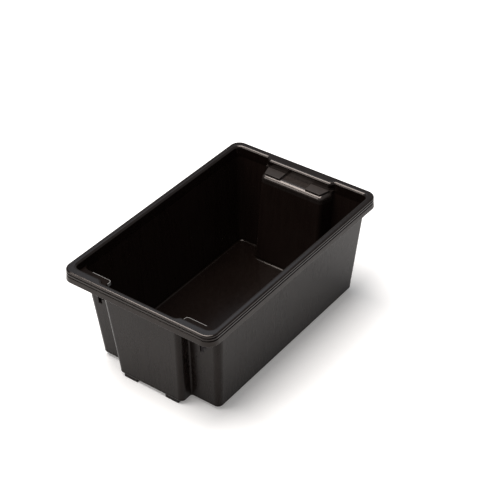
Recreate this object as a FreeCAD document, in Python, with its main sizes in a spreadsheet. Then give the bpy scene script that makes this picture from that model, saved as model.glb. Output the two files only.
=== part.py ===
"""Stack-and-nest plastic crate.

A drafted, thin-walled moulding. Seen from above, the front end (-X) has a panel that bulges outward
between two set-back corner columns, and the rear end (+X) has a panel that is set inward between two
corner columns that stand out. Turned half a turn, the crate above rests its front feet on the rear
shelf's pads and its rear feet on the two front corner ledges. The same way round, it nests.

Origin: centre of the crate on the plane its feet stand on. +Z is up, X runs along the length.
"""

import FreeCAD
import Part
import Sketcher
import math
import os

from FreeCAD import Vector

DOC = FreeCAD.newDocument("StackingCrate")

# Driving dimensions in millimetres. They become the cells of the sheet "Sizes".
SIZES = {
    # whole crate
    "overall_length": 652.0,
    "overall_width": 414.6,
    "overall_height": 276.0,
    "wall": 3.0,
    "foot_height": 8.5,
    "floor_band": 9.5,
    # levels, measured down from the top of the rim
    "ledge_drop": 20.0,
    "shelf_drop": 25.0,
    "skirt_depth": 28.0,
    "mouth_radius": 7.0,
    # plan of the outer faces at the underside
    "base_half_width": 169.2,
    "base_panel_x": 286.3,
    "base_panel_y": 92.0,
    "base_column_x": 253.4,
    "base_column_y": 92.0,
    "base_rear_x": 287.0,
    "base_rear_y": 98.0,
    "base_inset_x": 243.0,
    "base_inset_y": 88.0,
    # plan of the outer faces at the ledges
    "ledge_half_width": 189.4,
    "ledge_panel_x": 309.6,
    "ledge_panel_y": 107.0,
    "ledge_column_x": 277.0,
    "ledge_column_y": 107.0,
    "ledge_rear_x": 306.0,
    "ledge_rear_y": 94.0,
    "ledge_inset_x": 265.5,
    "ledge_inset_y": 84.0,
    # plan of the outer faces of the collar, the wall between the ledges and the rim
    "collar_panel_y": 103.0,
    "collar_column_x": 303.0,
    "collar_column_y": 113.0,
    "collar_rear_y": 94.0,
    "collar_inset_x": 297.0,
    "collar_inset_y": 86.0,
    "collar_radius": 8.0,
    # radii of upright corners, on the outer faces, and of the edges below and above the floor
    "base_corner_radius": 14.0,
    "ledge_corner_radius": 18.0,
    "panel_radius": 12.5,
    "panel_root_radius": 4.0,
    "inset_radius": 9.0,
    "base_edge_radius": 6.0,
    "floor_edge_radius": 5.5,
    # rim: flat flange, a groove round its edge, and a skirt that hangs clear of the wall
    "rim_corner_radius": 28.0,
    "rim_draft": 1.8,
    "rim_edge_radius": 4.2,
    "skirt_edge_radius": 1.0,
    "flange": 3.5,
    "skirt": 2.5,
    "upper_groove_drop": 4.8,
    "upper_groove_height": 3.0,
    "upper_groove_depth": 2.0,
    "lower_groove_drop": 12.5,
    "lower_groove_height": 2.5,
    "lower_groove_depth": 2.0,
    "ridge_edge_radius": 1.8,
    "neck": 4.8,
    "channel_step_drop": 17.0,
    # rear stacking shelf and its two pads
    "shelf_cut_drop": 39.0,
    "shelf_cut_y": 95.0,
    "shelf_edge_radius": 12.0,
    "shelf_corner_radius": 13.0,
    "pad_set_back": 6.0,
    "pad_inner_y": 37.0,
    "pad_front_outer_y": 80.0,
    "pad_back_outer_y": 88.0,
    "pad_corner_radius": 4.0,
    "pad_edge_radius": 0.8,
    "pad_root": 4.0,
    # feet
    "front_foot_x": 283.8,
    "front_foot_inner_y": 40.0,
    "front_foot_outer_y": 78.0,
    "rear_foot_x": 285.0,
    "rear_foot_inner_y": 114.0,
    "rear_foot_outer_y": 152.0,
    "foot_depth": 22.0,
    "foot_edge_radius": 2.0,
    # hooked slots through the front corner columns
    "slot_top": 191.5,
    "slot_height": 22.5,
    "slot_width": 10.5,
    "slot_arm": 18.7,
    "slot_arm_height": 7.5,
    "slot_right_y": 138.0,
    "slot_left_y": 148.2,
    # where the regions of the moulding meet
    "front_split_x": 225.0,
    "rear_split_x": 235.0,
    "column_split_y": 72.0,
    "ledge_split_y": 101.0,
    "inset_split_y": 96.0,
    "shelf_region_drop": 45.0,
    "ledge_region_rise": 6.0,
    "ledge_region_x": 308.0,
    "skirt_region_x": 313.5,
    "skirt_region_y": 193.5,
}


class Size:
    """A length together with the sheet expression that gives it."""

    def __init__(self, value, text):
        self.value = float(value)
        self.text = text

    def __add__(self, other):
        other = as_size(other)
        return Size(self.value + other.value, f"({self.text} + {other.text})")

    def __sub__(self, other):
        other = as_size(other)
        return Size(self.value - other.value, f"({self.text} - {other.text})")

    def __mul__(self, other):
        other = as_size(other)
        return Size(self.value * other.value, f"({self.text} * {other.text})")

    def __truediv__(self, other):
        other = as_size(other)
        return Size(self.value / other.value, f"({self.text} / {other.text})")

    def __neg__(self):
        return Size(-self.value, f"(-1 * {self.text})")


def as_size(item):
    """Return item as a Size, taking a bare number as it stands."""
    return item if isinstance(item, Size) else Size(item, repr(float(item)))


def size(name):
    """The named cell of the sheet."""
    return Size(SIZES[name], f"Sizes.{name}")


def make_sheet():
    """Write the driving dimensions into the sheet, one named cell each."""
    sheet = DOC.addObject("Spreadsheet::Sheet", "Sizes")
    for row, (name, value) in enumerate(SIZES.items(), start=1):
        sheet.set(f"A{row}", name)
        sheet.set(f"B{row}", str(value))
        sheet.setAlias(f"B{row}", name)
    DOC.recompute()


make_sheet()

# ---------------------------------------------------------------- levels
TOP = size("overall_height")
UNDERSIDE = size("foot_height")
WALL = size("wall")
FLOOR = UNDERSIDE + WALL
BAND = UNDERSIDE + size("floor_band")
LEDGE = TOP - size("ledge_drop")
SHELF = TOP - size("shelf_drop")
SKIRT_END = TOP - size("skirt_depth")
HALF_LENGTH = size("overall_length") / 2
HALF_WIDTH = size("overall_width") / 2
NOTHING = as_size(0)
OVER = as_size(15)                      # how far cutting shapes run past the faces they cut


def at_height(name, height):
    """A place on the wall's outer face at a height, on the straight draft from the base to the ledges."""
    base = size(f"base_{name}")
    ledge = size(f"ledge_{name}")
    return base + (ledge - base) * (height - BAND) / (LEDGE - BAND)


# ---------------------------------------------------------------- sketches and features
def bind(item, prop, length):
    """Tie a property of a document object to the sheet."""
    item.setExpression(prop, length.text)


def new_body(name):
    body = DOC.addObject("PartDesign::Body", name)
    body.Label = name
    return body


def new_sketch(body, name, height, role="XY_Plane"):
    """A sketch on one of the body's origin planes, moved along its normal to the height."""
    sketch = body.newObject("Sketcher::SketchObject", name)
    plane = [item for item in body.Origin.OriginFeatures if item.Role == role][0]
    sketch.AttachmentSupport = (plane, [""])
    sketch.MapMode = "FlatFace"
    bind(sketch, "AttachmentOffset.Base.z", height)
    return sketch


def constrain(sketch, *terms):
    return sketch.addConstraint(Sketcher.Constraint(*terms))


def dimension(sketch, kind, length, *places):
    """Add a dimension and tie it to the sheet."""
    number = constrain(sketch, kind, *places, length.value)
    sketch.setExpression(f"Constraints[{number}]", length.text)


def corner_arc(before, corner, after, radius):
    """The arc that rounds a corner: its circle's centre, its two ends and its turn (1 left, -1 right)."""
    arriving = (corner - before).normalize()
    leaving = (after - corner).normalize()
    turn = 1 if arriving.cross(leaving).z > 0 else -1
    angle = arriving.getAngle(leaving)
    reach = radius * math.tan(angle / 2)
    start = corner - arriving * reach
    end = corner + leaving * reach
    centre = start + Vector(-arriving.y, arriving.x, 0) * (radius * turn)
    return centre, start, end, turn


def add_outline(sketch, corners):
    """A closed outline of straight runs joined by tangent arcs, from (x, y, radius) corners."""
    first = sketch.GeometryCount
    count = len(corners)
    points = [Vector(x.value, y.value, 0) for x, y, radius in corners]
    arcs = []
    for index, (x, y, radius) in enumerate(corners):
        before, after = points[index - 1], points[(index + 1) % count]
        arcs.append(corner_arc(before, points[index], after, radius.value))
    for index, (centre, start, end, turn) in enumerate(arcs):
        circle = Part.Circle(centre, Vector(0, 0, 1), corners[index][2].value)
        low, high = (start, end) if turn > 0 else (end, start)
        arc = Part.ArcOfCircle(circle, circle.parameter(low), circle.parameter(high))
        sketch.addGeometry(arc, False)
        next_start = arcs[(index + 1) % count][1]
        sketch.addGeometry(Part.LineSegment(end, next_start), False)
    for index, (x, y, radius) in enumerate(corners):
        arc, run = first + 2 * index, first + 2 * index + 1
        last_run = first + (2 * index - 1) % (2 * count)
        arrive, leave = (1, 2) if arcs[index][3] > 0 else (2, 1)
        constrain(sketch, "Tangent", last_run, 2, arc, arrive)
        constrain(sketch, "Tangent", run, 1, arc, leave)
        dimension(sketch, "Radius", radius, arc)
        spot = sketch.addGeometry(Part.Point(points[index]), True)
        constrain(sketch, "PointOnObject", spot, 1, last_run)
        constrain(sketch, "PointOnObject", spot, 1, run)
        dimension(sketch, "DistanceX", x, -1, 1, spot, 1)
        dimension(sketch, "DistanceY", y, -1, 1, spot, 1)


def mirrored(half):
    """Close a half outline with its mirror image across the X axis."""
    return half + [(x, -y, radius) for x, y, radius in reversed(half)]


def rectangle(half_length, half_width, radius):
    """The corners of a rounded rectangle centred on the origin."""
    return mirrored([(-half_length, half_width, radius), (half_length, half_width, radius)])


def pad(body, sketch, length):
    feature = body.newObject("PartDesign::Pad", f"{sketch.Name}Pad")
    feature.Profile = sketch
    bind(feature, "Length", length)
    DOC.recompute()


def pocket(body, sketch, length):
    """Cut downward from the sketch."""
    feature = body.newObject("PartDesign::Pocket", f"{sketch.Name}Pocket")
    feature.Profile = sketch
    bind(feature, "Length", length)
    DOC.recompute()


def fillet(body, name, edges, radius):
    """Round the numbered edges of the body's tip."""
    base = body.Tip
    feature = body.newObject("PartDesign::Fillet", name)
    feature.Base = (base, [f"Edge{number}" for number in edges])
    bind(feature, "Radius", radius)
    DOC.recompute()


def level_edges(shape, height, reach_x=math.inf, reach_y=math.inf):
    """Numbers of the edges that lie flat at a height, within a reach of the Z axis."""
    found = []
    for number, edge in enumerate(shape.Edges, start=1):
        box = edge.BoundBox
        flat = abs(box.ZMin - height) < 0.01 and abs(box.ZMax - height) < 0.01
        if flat and max(-box.XMin, box.XMax) < reach_x and max(-box.YMin, box.YMax) < reach_y:
            found.append(number)
    return found


def loft(body, lower, upper, heights):
    """A straight-sided solid between two outlines."""
    sketches = []
    for level, corners, height in zip(("Low", "High"), (lower, upper), heights):
        sketch = new_sketch(body, f"{body.Name}{level}", height)
        add_outline(sketch, corners)
        sketches.append(sketch)
    feature = body.newObject("PartDesign::AdditiveLoft", f"{body.Name}Loft")
    feature.Profile = sketches[0]
    feature.Sections = [sketches[1]]
    feature.Ruled = True
    DOC.recompute()


# ---------------------------------------------------------------- outlines of the walls
def wall_outline(level, inward):
    """Half of the wall's plan at the base or ledge level, moved inward from its outer face."""
    half_width = size(f"{level}_half_width") - inward
    column_x = -(size(f"{level}_column_x") - inward)
    rear_x = size(f"{level}_rear_x") - inward
    panel_x = -(size(f"{level}_panel_x") - inward)
    inset_x = size(f"{level}_inset_x") - inward
    return [
        (panel_x, size(f"{level}_panel_y") - inward, size("panel_radius") - inward),
        (column_x, size(f"{level}_column_y") - inward, size("panel_root_radius") + inward),
        (column_x, half_width, size(f"{level}_corner_radius") - inward),
        (rear_x, half_width, size(f"{level}_corner_radius") - inward),
        (rear_x, size(f"{level}_rear_y") + inward, size("inset_radius") - inward),
        (inset_x, size(f"{level}_inset_y") + inward, size("inset_radius") + inward),
    ]


def collar_outline(panel_x, half_width, rear_x, inward):
    """Half of the plan of the collar, the wall above the ledges, at one height."""
    column_x = -(size("collar_column_x") - inward)
    return [
        (-(panel_x - inward), size("collar_panel_y") - inward, size("panel_radius") - inward),
        (column_x, size("collar_column_y") - inward, size("collar_radius") + inward),
        (column_x, half_width - inward, size("ledge_corner_radius") - inward),
        (rear_x - inward, half_width - inward, size("ledge_corner_radius") - inward),
        (rear_x - inward, size("collar_rear_y") + inward, size("collar_radius") - inward),
        (size("collar_inset_x") - inward, size("collar_inset_y") + inward, size("collar_radius") + inward),
    ]


def collar_at(level, inward):
    """The collar's plan at the ledges, or carried on to the rim at the same draft."""
    if level == "ledge":
        places = [size(f"ledge_{name}") for name in ("panel_x", "half_width", "rear_x")]
    else:
        places = [at_height(name, TOP) for name in ("panel_x", "half_width", "rear_x")]
    return collar_outline(*places, inward)


def make_walls(name, inward, bottom, edge_radius):
    """The tapering block from the underside to the ledges, with its lower edge rounded."""
    body = new_body(name)
    base, ledge = (mirrored(wall_outline(level, inward)) for level in ("base", "ledge"))
    loft(body, base, ledge, (BAND, LEDGE))
    sketch = new_sketch(body, f"{name}Band", bottom)
    add_outline(sketch, base)
    pad(body, sketch, BAND - bottom)
    fillet(body, f"{name}Edge", level_edges(body.Tip.Shape, bottom.value), edge_radius)
    return body


def make_collar(name, inward, bottom, top):
    """The block of the collar, between the ledges and the rim."""
    body = new_body(name)
    low, high = (mirrored(collar_at(level, inward)) for level in ("ledge", "rim"))
    loft(body, low, high, (bottom, top))
    return body


def make_mouth():
    """The upper end of the hollow, with the flare that rounds the rim's inner edge."""
    body = new_body("Mouth")
    start = TOP - size("mouth_radius") - as_size(1)
    outline = new_sketch(body, "MouthOpening", start)
    add_outline(outline, mirrored(collar_at("rim", WALL)))
    pad(body, outline, TOP - start)
    above = new_sketch(body, "MouthAbove", TOP)
    add_outline(above, rectangle(HALF_LENGTH + OVER, HALF_WIDTH + OVER, size("rim_corner_radius")))
    pad(body, above, OVER)
    inner = level_edges(body.Tip.Shape, TOP.value, HALF_LENGTH.value, HALF_WIDTH.value)
    fillet(body, "MouthFlare", inner, size("mouth_radius"))
    return body


def rim_outline(inset):
    """The rim's outermost plan, at the skirt's lower edge, moved inward."""
    return rectangle(HALF_LENGTH - inset, HALF_WIDTH - inset, size("rim_corner_radius") - inset)


def make_rim():
    """The flange and skirt round the top, hollow below, with two grooves round its outer face."""
    body = new_body("RimBlank")
    draft = size("rim_draft")
    upper, lower = size("upper_groove_drop"), size("lower_groove_drop")
    upper_end = upper + size("upper_groove_height")
    lower_end = lower + size("lower_groove_height")
    loft(body, rim_outline(NOTHING), rim_outline(draft), (SKIRT_END, TOP - lower_end))
    fillet(body, "SkirtEdge", level_edges(body.Tip.Shape, SKIRT_END.value), size("skirt_edge_radius"))
    skirt_top = level_edges(body.Tip.Shape, (TOP - lower_end).value)
    fillet(body, "SkirtTop", skirt_top, size("ridge_edge_radius"))
    courses = (
        ("LowerGroove", lower_end, lower, size("lower_groove_depth"), None),
        ("Ridge", lower, upper_end, NOTHING, size("ridge_edge_radius")),
        ("UpperGroove", upper_end, upper, size("upper_groove_depth"), None),
        ("Flange", upper, NOTHING, NOTHING, size("rim_edge_radius")),
    )
    for name, low, high, depth, edge_radius in courses:
        sketch = new_sketch(body, name, TOP - low)
        add_outline(sketch, rim_outline(draft + depth))
        pad(body, sketch, low - high)
        if edge_radius:
            fillet(body, f"{name}Edge", level_edges(body.Tip.Shape, (TOP - high).value), edge_radius)
    step = TOP - size("channel_step_drop")
    channels = (
        ("SkirtChannel", step, size("skirt"), step - SKIRT_END),
        ("NeckChannel", TOP - size("flange"), size("neck") + draft, TOP - size("flange") - step),
    )
    for name, height, inset, depth in channels:
        sketch = new_sketch(body, name, height)
        add_outline(sketch, rim_outline(inset))
        pocket(body, sketch, depth)
    return body


def block(name, x_low, x_high, y_low, y_high, z_low, z_high):
    """A box between two corners."""
    box = DOC.addObject("Part::Box", name)
    sides = (("Length", "x", x_low, x_high), ("Width", "y", y_low, y_high), ("Height", "z", z_low, z_high))
    for prop, axis, low, high in sides:
        bind(box, prop, high - low)
        bind(box, f"Placement.Base.{axis}", low)
    return box


def combine(kind, name, shapes):
    """A boolean of several objects: MultiFuse or MultiCommon."""
    item = DOC.addObject(f"Part::{kind}", name)
    item.Shapes = shapes
    return item


def cut(name, base, tool):
    item = DOC.addObject("Part::Cut", name)
    item.Base = base
    item.Tool = tool
    return item


OUTSIDE = make_walls("Outside", NOTHING, UNDERSIDE, size("base_edge_radius"))
INSIDE = make_walls("Inside", WALL, FLOOR, size("floor_edge_radius"))
COLLAR = make_collar("Collar", NOTHING, LEDGE - WALL, TOP - size("flange"))
THROAT = make_collar("Throat", WALL, LEDGE, TOP - size("mouth_radius") - as_size(1))
MOUTH = make_mouth()
RIM_BLANK = make_rim()


# ---------------------------------------------------------------- rear shelf and hooked slots
def slot_tool(name, side_y, reach):
    """A hooked slot's upright leg and the arm that runs from its top towards -Y."""
    top = size("slot_top")
    half = size("slot_width") / 2
    x_low, x_high = -reach - OVER, -reach + OVER
    leg = block(f"{name}Leg", x_low, x_high, side_y - half, side_y + half, top - size("slot_height"), top)
    arm_end = side_y + half - size("slot_arm")
    arm = block(f"{name}Arm", x_low, x_high, arm_end, side_y + half, top - size("slot_arm_height"), top)
    return [leg, arm]


SHELF_CUT = TOP - size("shelf_cut_drop")
SHELF_BACK = size("collar_inset_x") - WALL
SHELF_FRONT = at_height("inset_x", SHELF_CUT) - WALL
CUT_Y = size("shelf_cut_y")
shelf_space = block("ShelfSpace", SHELF_FRONT - OVER, SHELF_BACK, -CUT_Y, CUT_Y, SHELF_CUT, LEDGE)
shelf_base = block(
    "ShelfBase", SHELF_FRONT - OVER, SHELF_BACK + WALL, -CUT_Y, CUT_Y, SHELF_CUT - WALL, LEDGE
)


def make_shoulder():
    """The shelf's top, whose front and ends are rounded over and follow the set-in panel below."""
    body = new_body("ShelfShoulder")
    sketch = new_sketch(body, "ShelfPlan", SHELF_CUT)
    radius = size("shelf_corner_radius")
    front_y = at_height("inset_y", SHELF_CUT) + WALL
    wall_x = at_height("rear_x", SHELF_CUT) - WALL
    wall_y = at_height("rear_y", SHELF_CUT) + WALL
    back_x = SHELF_BACK + radius * 2
    spread = (wall_y - front_y) * (back_x - SHELF_FRONT) / (wall_x - SHELF_FRONT)
    add_outline(sketch, mirrored([(SHELF_FRONT, front_y, radius), (back_x, front_y + spread, radius)]))
    pad(body, sketch, SHELF - SHELF_CUT)
    fillet(body, "ShelfEdge", level_edges(body.Tip.Shape, SHELF.value), size("shelf_edge_radius"))
    trim = block("ShelfTrim", SHELF_FRONT - OVER, SHELF_BACK + WALL / 2, -CUT_Y, CUT_Y, SHELF_CUT, SHELF)
    return combine("MultiCommon", "Shoulder", [body, trim])


slots = slot_tool("RightSlot", -size("slot_right_y"), size("base_column_x") + OVER)
slots += slot_tool("LeftSlot", size("slot_left_y"), size("base_column_x") + OVER)

SOLID = combine("MultiFuse", "Solid", [OUTSIDE, COLLAR, RIM_BLANK, shelf_base])
HOLLOW = combine("MultiFuse", "Hollow", [INSIDE, THROAT, MOUTH, shelf_space] + slots)
SHELL = cut("Shell", SOLID, HOLLOW)
SHOULDER = make_shoulder()
MOULDING = combine("MultiFuse", "Moulding", [SHELL, SHOULDER])

# ---------------------------------------------------------------- regions of the moulding
# Left is +Y and right is -Y, as seen by someone facing the front end.
FAR_X = HALF_LENGTH + OVER
FAR_Y = HALF_WIDTH + OVER
FRONT = -size("front_split_x")
REAR = size("rear_split_x")
COLUMN_Y = size("column_split_y")
LEDGE_Y = size("ledge_split_y")
INSET_Y = size("inset_split_y")
SHELF_REGION = TOP - size("shelf_region_drop")
LEDGE_FAR_X = size("ledge_region_x")
SKIRT_X = size("skirt_region_x")
SKIRT_Y = size("skirt_region_y")
SIDES = (("left", 1), ("right", -1))
PARTS = []

REAR_END = (REAR, FAR_X)
FRONT_END = (-FAR_X, FRONT)
MIDDLE = (FRONT, REAR)
WHOLE_LENGTH = (-FAR_X, FAR_X)
WHOLE_WIDTH = (-FAR_Y, FAR_Y)
WALL_SPAN = (BAND, SKIRT_END)
LEDGE_SPAN = (SKIRT_END, LEDGE + size("ledge_region_rise"))
RIM_SPAN = (SKIRT_END, TOP + OVER)
SKIRT_SPAN = (SKIRT_END, TOP - size("flange"))


def span(side, near, far):
    """The low and high end of a stretch on the +Y side (1) or the -Y side (-1)."""
    return (near, far) if side > 0 else (-far, -near)


def space(name, spans):
    """The space that one or more boxes fill, each given by its X, Y and Z spans."""
    boxes = [block(f"{name}_{number}", *x, *y, *z) for number, (x, y, z) in enumerate(spans, start=1)]
    return boxes[0] if len(boxes) == 1 else combine("MultiFuse", name, boxes)


def keep(part, node):
    """Name a finished sub-part after its file and list it for writing."""
    part.Label = node
    PARTS.append(part)


def region(node, spans, taken=()):
    """The share of the moulding inside a space, less the spaces already given to other regions."""
    share = combine("MultiCommon", f"{node}_share", [MOULDING, space(f"{node}_space", spans)])
    if taken:
        share = cut(f"{node}_rest", share, space(f"{node}_taken", taken))
    keep(share, node)


SHELF_SPACE = (
    (REAR, LEDGE_FAR_X), (-INSET_Y, INSET_Y), (SHELF_REGION, LEDGE + size("ledge_region_rise"))
)
region("floor_pan", [(WHOLE_LENGTH, WHOLE_WIDTH, (NOTHING, BAND))])
region("front_panel", [(FRONT_END, (-COLUMN_Y, COLUMN_Y), WALL_SPAN)])
region("rear_panel", [(REAR_END, (-INSET_Y, INSET_Y), (BAND, SHELF_REGION))])
region("rear_shelf", [SHELF_SPACE])
ledges = []
corner_skirts = {"front": [], "rear": []}
for side_name, side in SIDES:
    outward = span(side, NOTHING, FAR_Y)
    beyond_wall = span(side, SKIRT_Y, FAR_Y)
    ledge = ((-LEDGE_FAR_X, FRONT), span(side, LEDGE_Y, SKIRT_Y), LEDGE_SPAN)
    skirt = (MIDDLE, beyond_wall, SKIRT_SPAN)
    region(f"{side_name}_side_wall", [(MIDDLE, outward, WALL_SPAN)])
    region(f"front_{side_name}_column", [(FRONT_END, span(side, COLUMN_Y, FAR_Y), WALL_SPAN)])
    region(f"rear_{side_name}_column", [(REAR_END, span(side, INSET_Y, FAR_Y), WALL_SPAN)])
    region(f"front_{side_name}_ledge", [ledge])
    region(f"skirt_{side_name}", [skirt])
    region(f"rim_{side_name}", [(MIDDLE, outward, RIM_SPAN)], [skirt])
    ledges.append(ledge)
    corner_skirts["front"].append((FRONT_END, beyond_wall, SKIRT_SPAN))
    corner_skirts["rear"].append((REAR_END, beyond_wall, SKIRT_SPAN))
ends = (
    ("front", FRONT_END, (-FAR_X, -SKIRT_X), ledges),
    ("rear", REAR_END, (SKIRT_X, FAR_X), [SHELF_SPACE]),
)
for end_name, stretch, beyond_wall, taken in ends:
    skirts = [(beyond_wall, WHOLE_WIDTH, SKIRT_SPAN)] + corner_skirts[end_name]
    region(f"skirt_{end_name}", skirts)
    region(f"rim_{end_name}", [(stretch, WHOLE_WIDTH, RIM_SPAN)], taken + skirts)


# ---------------------------------------------------------------- pads and feet
def rounded_block(name, x_span, y_span, bottom, height, radius):
    """A body with rounded upright edges standing on a level."""
    body = new_body(name)
    sketch = new_sketch(body, f"{name}Plan", bottom)
    corners = [(x, y, radius) for x, y in zip(x_span + x_span[::-1], (y_span[0],) * 2 + (y_span[1],) * 2)]
    add_outline(sketch, corners)
    pad(body, sketch, height)
    return body


PAD_FRONT = SHELF_FRONT + size("pad_set_back")
for side_name, side in SIDES:
    body = new_body(f"{side_name.title()}Pad")
    sketch = new_sketch(body, f"{side_name.title()}PadPlan", SHELF - size("pad_root"))
    inner = size("pad_inner_y") * side
    radius = size("pad_edge_radius")
    add_outline(sketch, [
        (PAD_FRONT, inner, radius),
        (SHELF_BACK, inner, radius),
        (SHELF_BACK, size("pad_back_outer_y") * side, radius),
        (PAD_FRONT, size("pad_front_outer_y") * side, size("pad_corner_radius")),
    ])
    pad(body, sketch, LEDGE - SHELF + size("pad_root"))
    fillet(body, f"{side_name.title()}PadTop", level_edges(body.Tip.Shape, LEDGE.value), radius)
    keep(cut(f"{side_name.title()}PadSeat", body, SHOULDER), f"rear_{side_name}_pad")

FOOT_RISE = UNDERSIDE + size("base_edge_radius")
for end_name, end in (("front", -1), ("rear", 1)):
    tip = size(f"{end_name}_foot_x")
    x_span = (tip - size("foot_depth"), tip) if end > 0 else (-tip, size("foot_depth") - tip)
    for side_name, side in SIDES:
        stretch = span(side, size(f"{end_name}_foot_inner_y"), size(f"{end_name}_foot_outer_y"))
        name = f"{end_name}_{side_name}"
        body = rounded_block(
            f"{name}_foot_block", x_span, stretch, NOTHING, FOOT_RISE, size("foot_edge_radius")
        )
        fillet(body, f"{name}_foot_sole", level_edges(body.Tip.Shape, 0), size("foot_edge_radius") / 2)
        keep(cut(f"{name}_foot_trim", body, OUTSIDE), f"{name}_foot")

DOC.recompute()


# ---------------------------------------------------------------- checks and files
def check_model():
    """Stop unless every object computed cleanly and every sub-part is one valid solid."""
    faults = [item.Name for item in DOC.Objects if {"Invalid", "Error"} & set(item.State)]
    for part in PARTS:
        shape = part.Shape
        if shape.isNull() or not shape.isValid() or len(shape.Solids) != 1:
            faults.append(part.Label)
    if faults:
        raise RuntimeError(f"model has faults: {faults}")


def write_parts():
    """Write each sub-part to its own STEP file."""
    os.makedirs("parts", exist_ok=True)
    for part in PARTS:
        part.Shape.exportStep(f"parts/{part.Label}.step")


check_model()
write_parts()
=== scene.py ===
"""Looks of a stack-and-nest plastic crate: black moulded plastic on a pale floor, metres."""

import math

import bpy
from mathutils import Matrix, Vector

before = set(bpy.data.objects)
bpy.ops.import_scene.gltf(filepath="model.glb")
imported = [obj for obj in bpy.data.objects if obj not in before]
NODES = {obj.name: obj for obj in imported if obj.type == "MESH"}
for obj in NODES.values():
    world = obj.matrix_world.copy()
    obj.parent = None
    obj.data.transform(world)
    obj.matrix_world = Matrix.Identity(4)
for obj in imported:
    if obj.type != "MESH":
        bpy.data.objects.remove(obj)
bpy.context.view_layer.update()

# Polypropylene
REFRACTION = 1.49
REFLECTION_TINT = (1.0, 0.9, 0.84, 1.0)
DARK = (0.0044, 0.0026, 0.0020)
# Tint, gloss, roughness where polished, roughness where worn, and strength of the grain
FINISHES = {
    "wall": (DARK, 0.11, 0.24, 0.32, 0.03),
    "inside": ((0.0078, 0.0046, 0.0037), 0.3, 0.24, 0.32, 0.04),
    "rim": (DARK, 0.58, 0.14, 0.2, 0.02),
    "skirt": (DARK, 0.26, 0.16, 0.22, 0.02),
    "pan": (DARK, 0.3, 0.19, 0.25, 0.03),
    "shelf": ((0.012, 0.009, 0.008), 0.9, 0.2, 0.28, 0.1),
    "pad": ((0.014, 0.011, 0.010), 0.5, 0.46, 0.56, 0.3),
    "ledge": (DARK, 0.06, 0.4, 0.5, 0.2),
}
# These finishes cover a node whole; all others have one finish outside and one inside
WHOLE_FINISHES = ("rim", "skirt", "shelf", "pad", "ledge")
# A face whose normal rises more than this belongs to the inside of the crate
INNER_LEAN = 0.02

# How far the tint and the gloss swing either side of their middle value
TINT_SWING = 0.18
GLOSS_SWING = 0.1
# The noise blend's useful range, and the share of patches and streaks in it
BLEND_LOW, BLEND_HIGH = 0.36, 0.64
PATCH_SHARE, STREAK_SHARE = 0.45, 0.55
# Each noise has a scale, a detail and a roughness
PATCH_NOISE = (7.0, 5.0, 0.6)
STREAK_NOISE = (95.0, 5.0, 0.62)
GRAIN_NOISE = (900.0, 2.0, 0.5)
HIGHLIGHT_NOISE = (160.0, 3.0, 0.6)
FLOOR_NOISE = (3.0, 4.0, 0.55)
# Drag streaks are noise drawn out along Z, as the tool leaves them
STREAK_STRETCH = (1.0, 1.0, 0.012)
GRAIN_DEPTH = 0.0004

# Painted highlight on the front ledges, a pale line standing in for the light caught by their
# rounded inner edge: colour, the inner edge it follows, and where it ends
PAINTED_HIGHLIGHT = (0.42, 0.41, 0.4, 1.0)
HIGHLIGHT_INNER_X, HIGHLIGHT_INNER_Y, HIGHLIGHT_RADIUS = -0.274, 0.104, 0.007
HIGHLIGHT_WIDTH = 0.0011
HIGHLIGHT_TOP = 0.2565
HIGHLIGHT_END_X, HIGHLIGHT_END_Y = -0.288, 0.158

FLOOR_REACH = 30.0
# Places in the noise and the greys the floor has there
FLOOR_LOW, FLOOR_HIGH = (0.3, 0.89), (0.7, 0.91)
FLOOR_ROUGHNESS = 0.9
FLOOR_GLOW = (1.0, 0.965, 0.93, 1.0)
FLOOR_GLOW_STRENGTH = 0.2
SKY = (0.93, 0.96, 1.0, 1.0)
SKY_STRENGTH = 0.25
# Place, target, width, height, watts and colour. The main light is a softbox straight overhead;
# its target is a millimetre off, so that it has a definite turn about its axis.
CRATE_MIDDLE = (0.0, 0.0, 0.2)
LIGHTS = {
    "main": ((-0.53, 0.97, 4.1), (-0.53, 0.971, 0.0), 3.1, 3.38, 300, (1.0, 0.965, 0.94)),
    "left": ((-2.6, 1.7, 1.9), CRATE_MIDDLE, 1.6, 1.2, 20, (1.0, 0.97, 0.95)),
    "back": ((1.9, 1.5, 3.1), CRATE_MIDDLE, 1.6, 1.6, 5, (0.72, 0.85, 1.0)),
}

# The photo's camera, in degrees, metres and millimetres
CAMERA_PLACE = (-2.0686, -1.5787, 2.1576)
CAMERA_AZIMUTH, CAMERA_ELEVATION, CAMERA_ROLL = -53.886, 36.686, -0.246
CAMERA_LENS = 102.22
CAMERA_SENSOR = 36.0


# ---------------------------------------------------------------- materials
def new_material(name):
    material = bpy.data.materials.new(name)
    material.use_nodes = True
    tree = material.node_tree
    return material, tree, tree.nodes["Principled BSDF"]


def add(tree, kind, **values):
    """A shader node with its inputs or properties set."""
    node = tree.nodes.new(kind)
    for key, value in values.items():
        if key in node.inputs:
            node.inputs[key].default_value = value
        else:
            setattr(node, key, value)
    return node


def object_place(tree):
    return tree.nodes.new("ShaderNodeTexCoord").outputs["Object"]


def noise(tree, where, kind):
    scale, detail, roughness = kind
    node = add(tree, "ShaderNodeTexNoise", Scale=scale, Detail=detail, Roughness=roughness)
    tree.links.new(where, node.inputs["Vector"])
    return node.outputs["Fac"]


def ramp(tree, source, low, high):
    """Map a 0..1 value between two (place, colour) stops."""
    node = tree.nodes.new("ShaderNodeValToRGB")
    for element, (place, colour) in zip(node.color_ramp.elements, (low, high)):
        element.position = place
        element.color = (*colour, 1.0)
    tree.links.new(source, node.inputs["Fac"])
    return node.outputs["Color"]


def grey(value):
    return (value, value, value)


def math_node(tree, operation, first, second=None):
    """A Math node; an input is a socket or a number."""
    node = add(tree, "ShaderNodeMath", operation=operation)
    for socket, item in zip(node.inputs, (first, second)):
        if isinstance(item, (int, float)):
            socket.default_value = item
        elif item is not None:
            tree.links.new(item, socket)
    return node.outputs["Value"]


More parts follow.
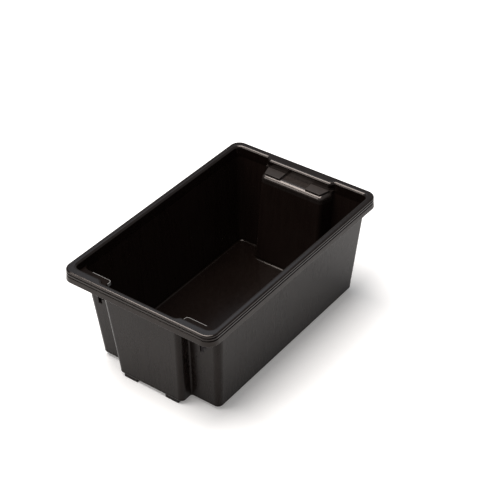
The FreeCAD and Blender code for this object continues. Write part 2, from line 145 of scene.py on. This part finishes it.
def plastic(name, tint, gloss, smooth, worn, grain_strength):
    """Black polypropylene: fine moulded grain, drag streaks from the tool and patchy polish."""
    material, tree, shader = new_material(name)
    links = tree.links
    where = object_place(tree)
    stretch = add(tree, "ShaderNodeMapping", Scale=STREAK_STRETCH)
    links.new(where, stretch.inputs["Vector"])
    patches = noise(tree, where, PATCH_NOISE)
    streaks = noise(tree, stretch.outputs["Vector"], STREAK_NOISE)
    grain = noise(tree, where, GRAIN_NOISE)
    blend = math_node(
        tree, "ADD",
        math_node(tree, "MULTIPLY", patches, PATCH_SHARE),
        math_node(tree, "MULTIPLY", streaks, STREAK_SHARE),
    )
    spreads = {
        "Base Color": (
            [(1 - TINT_SWING) * part for part in tint],
            [(1 + TINT_SWING) * part for part in tint],
        ),
        "Roughness": (grey(smooth), grey(worn)),
        "Specular IOR Level": (
            grey((1 - GLOSS_SWING) * gloss),
            grey((1 + GLOSS_SWING) * gloss),
        ),
    }
    for socket, (low, high) in spreads.items():
        level = ramp(tree, blend, (BLEND_LOW, low), (BLEND_HIGH, high))
        links.new(level, shader.inputs[socket])
    bump = add(tree, "ShaderNodeBump", Strength=grain_strength, Distance=GRAIN_DEPTH)
    links.new(grain, bump.inputs["Height"])
    links.new(bump.outputs["Normal"], shader.inputs["Normal"])
    shader.inputs["IOR"].default_value = REFRACTION
    shader.inputs["Specular Tint"].default_value = REFLECTION_TINT
    return material


def paint_edge_highlight(material):
    """Painted highlight: a pale line along the inner edge of the front corner ledges, standing
    in for the light their rounded edge would catch.

    The edge runs along x = HIGHLIGHT_INNER_X and |y| = HIGHLIGHT_INNER_Y and turns with
    HIGHLIGHT_RADIUS.
    """
    tree = material.node_tree
    shader = tree.nodes["Principled BSDF"]
    where = object_place(tree)
    place = tree.nodes.new("ShaderNodeSeparateXYZ")
    tree.links.new(where, place.inputs["Vector"])
    x, y, z = (place.outputs[axis] for axis in "XYZ")
    side = math_node(tree, "ABSOLUTE", y)
    past_x = math_node(tree, "SUBTRACT", x, HIGHLIGHT_INNER_X - HIGHLIGHT_RADIUS)
    past_y = math_node(tree, "SUBTRACT", HIGHLIGHT_INNER_Y + HIGHLIGHT_RADIUS, side)
    squares = []
    for past in (past_x, past_y):
        beyond = math_node(tree, "MAXIMUM", past, 0.0)
        squares.append(math_node(tree, "MULTIPLY", beyond, beyond))
    reach = math_node(tree, "SQRT", math_node(tree, "ADD", *squares))
    limits = (
        math_node(tree, "GREATER_THAN", reach, HIGHLIGHT_RADIUS - HIGHLIGHT_WIDTH),
        math_node(tree, "LESS_THAN", z, HIGHLIGHT_TOP),
        math_node(tree, "GREATER_THAN", x, HIGHLIGHT_END_X),
        math_node(tree, "LESS_THAN", side, HIGHLIGHT_END_Y),
    )
    # Mask of the painted highlight: noise kept to a thin band along the ledges' inner edge
    highlight_mask = noise(tree, where, HIGHLIGHT_NOISE)
    for limit in limits:
        highlight_mask = math_node(tree, "MULTIPLY", highlight_mask, limit)
    mix = add(tree, "ShaderNodeMix", data_type="RGBA")
    # The node has sockets for every data type under the same names; these are the colour ones
    factor, plain, highlighted, mixed = mix.inputs[0], mix.inputs[6], mix.inputs[7], mix.outputs[2]
    base = shader.inputs["Base Color"].links[0].from_socket
    tree.links.new(highlight_mask, factor)
    tree.links.new(base, plain)
    highlighted.default_value = PAINTED_HIGHLIGHT
    tree.links.new(mixed, shader.inputs["Base Color"])


def floor_paint():
    material, tree, shader = new_material("pale_floor")
    cloud = noise(tree, object_place(tree), FLOOR_NOISE)
    low, high = ((place, grey(value)) for place, value in (FLOOR_LOW, FLOOR_HIGH))
    tone = ramp(tree, cloud, low, high)
    tree.links.new(tone, shader.inputs["Base Color"])
    shader.inputs["Roughness"].default_value = FLOOR_ROUGHNESS
    shader.inputs["Emission Color"].default_value = FLOOR_GLOW
    shader.inputs["Emission Strength"].default_value = FLOOR_GLOW_STRENGTH
    return material


def finish_crate():
    """Give every CAD node its plastic."""
    plastics = {}
    for name, values in FINISHES.items():
        plastics[name] = plastic("black_plastic_" + name, *values)
    # Paint a highlight line along the front ledges' inner edge
    paint_edge_highlight(plastics["ledge"])
    for name, node in NODES.items():
        whole = [word for word in name.split("_") if word in WHOLE_FINISHES]
        materials = node.data.materials
        materials.clear()
        if whole:
            materials.append(plastics[whole[0]])
        else:
            materials.append(plastics["wall"])
            materials.append(plastics["pan" if name == "floor_pan" else "inside"])
            for face in node.data.polygons:
                face.material_index = 1 if face.normal.z > INNER_LEAN else 0


# ---------------------------------------------------------------- stage, light and camera
def stage_floor():
    corners = [(-1, -1), (1, -1), (1, 1), (-1, 1)]
    points = [(FLOOR_REACH * x, FLOOR_REACH * y, 0.0) for x, y in corners]
    mesh = bpy.data.meshes.new("floor")
    mesh.from_pydata(points, [], [(0, 1, 2, 3)])
    mesh.materials.append(floor_paint())
    floor = bpy.data.objects.new("floor", mesh)
    bpy.context.scene.collection.objects.link(floor)


def area_light(name, place, target, width, height, watts, colour):
    data = bpy.data.lights.new(name, "AREA")
    data.shape = "RECTANGLE"
    data.size = width
    data.size_y = height
    data.energy = watts
    data.color = colour
    light = bpy.data.objects.new(name, data)
    light.location = place
    aim = Vector(target) - Vector(place)
    light.rotation_euler = aim.to_track_quat("-Z", "Y").to_euler()
    bpy.context.scene.collection.objects.link(light)


def studio():
    """A softbox overhead, a weak light from the left and a weaker, bluer one from behind."""
    for name, values in LIGHTS.items():
        area_light(name, *values)
    world = bpy.data.worlds.new("studio")
    bpy.context.scene.world = world
    world.use_nodes = True
    background = world.node_tree.nodes["Background"]
    background.inputs["Color"].default_value = SKY
    background.inputs["Strength"].default_value = SKY_STRENGTH
    bpy.context.scene.view_settings.view_transform = "Standard"


def camera():
    """Above and outside the front end's right corner, with a long lens."""
    azimuth = math.radians(CAMERA_AZIMUTH)
    elevation = math.radians(CAMERA_ELEVATION)
    roll = math.radians(CAMERA_ROLL)
    back = Vector((
        math.sin(azimuth) * math.cos(elevation),
        -math.cos(azimuth) * math.cos(elevation),
        math.sin(elevation),
    ))
    right = (-back).cross(Vector((0, 0, 1))).normalized()
    up = right.cross(-back)
    c, s = math.cos(roll), math.sin(roll)
    right, up = right * c + up * s, up * c - right * s
    data = bpy.data.cameras.new("camera")
    data.sensor_width = CAMERA_SENSOR
    data.lens = CAMERA_LENS
    eye = bpy.data.objects.new("camera", data)
    turn = Matrix((right, up, back)).transposed().to_4x4()
    eye.matrix_world = Matrix.Translation(CAMERA_PLACE) @ turn
    bpy.context.scene.collection.objects.link(eye)
    bpy.context.scene.camera = eye


finish_crate()
stage_floor()
studio()
camera()
